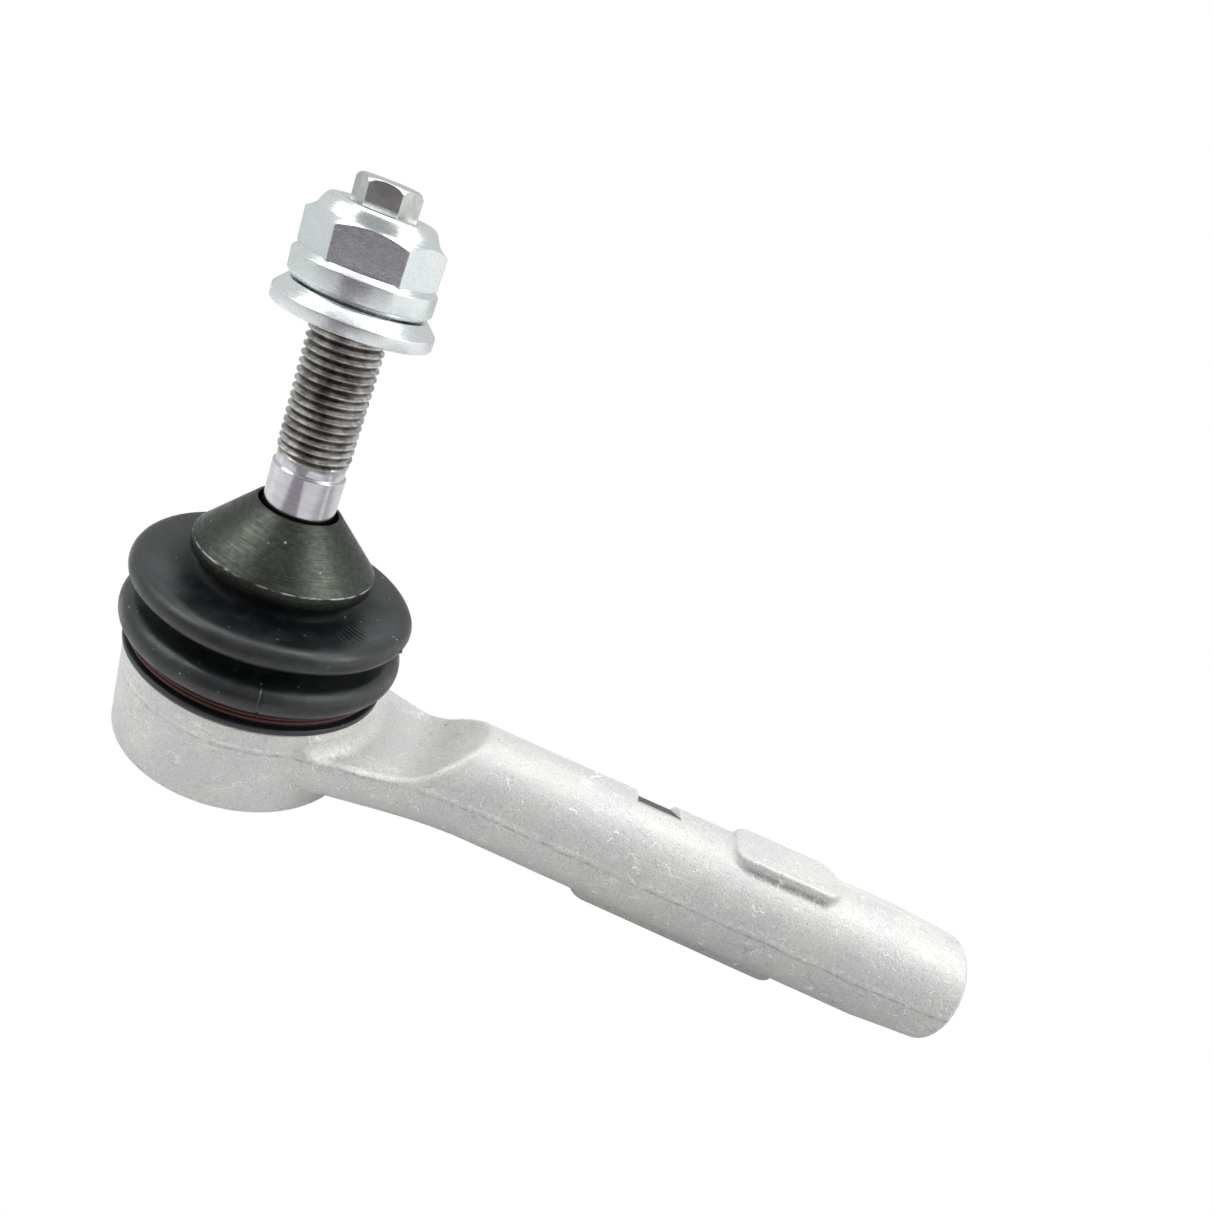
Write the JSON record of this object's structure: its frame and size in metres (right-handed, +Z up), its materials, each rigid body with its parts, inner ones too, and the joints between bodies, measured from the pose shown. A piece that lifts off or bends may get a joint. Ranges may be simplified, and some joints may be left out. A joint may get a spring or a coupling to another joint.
{
  "type": "tie rod end",
  "caption": "Steering tie rod end: forged housing with a ball joint, rubber dust boot, threaded stud with hexagon tip, captive-washer lock nut and internally threaded rod.",
  "frame": {"origin": "centre of the ball, on the rod's axis", "axes": "+Z up the stud towards its hexagon tip, +X along the rod towards its threaded mouth, Y across"},
  "size_m": [0.1826, 0.0576, 0.1115],
  "materials": {
    "forged_aluminium": "shot-blasted forging",
    "acetal": "moulded",
    "spring_steel": "oiled",
    "cover_steel": "zinc plated",
    "stud_steel": "rolled thread, ground shank",
    "phosphated_steel": "black phosphate",
    "boot_rubber": "satin",
    "brown_wire": "coated",
    "zinc_plate": "bright zinc"
  },
  "bodies": {
    "housing": {"housing": "forged_aluminium", "bearing_seat_lower": "acetal", "bearing_seat_upper": "acetal", "preload_spring": "spring_steel", "cover_plate": "cover_steel", "boot_lower_band": "cover_steel", "boot_wire_ring": "brown_wire"},
    "boot": {"dust_boot": "boot_rubber"},
    "boot_top": {"boot_upper_ring": "cover_steel"},
    "stud": {"ball_stud": "stud_steel", "cone_collar": "phosphated_steel"},
    "washer": {"captive_washer": "zinc_plate"},
    "nut": {"lock_nut": "zinc_plate"}
  },
  "joints": [
    {"name": "stud_pitch", "type": "hinge", "parent": "housing", "child": "boot", "pos_m": [0, 0, 0], "axis": [0, 1, 0], "range_deg": [-20, 20], "deforming": ["dust_boot"]},
    {"name": "stud_roll", "type": "hinge", "parent": "boot", "child": "boot_top", "pos_m": [0, 0, 0], "axis": [1, 0, 0], "range_deg": [-20, 20]},
    {"name": "stud_spin", "type": "hinge", "parent": "boot_top", "child": "stud", "pos_m": [0, 0, 0], "axis": [0, 0, 1], "continuous": true},
    {"name": "nut_travel", "type": "slide", "parent": "stud", "child": "washer", "axis": [0, 0, 1], "range_m": [-0.0225, 0.0225]},
    {"name": "nut_spin", "type": "hinge", "parent": "washer", "child": "nut", "pos_m": [0, 0, 0.08], "axis": [0, 0, 1], "range_deg": [-5400, 5400]}
  ],
  "couplings": [
    {"joint": "nut_travel", "follows": "nut_spin", "m_per_rad": 0.00023873}
  ]
}
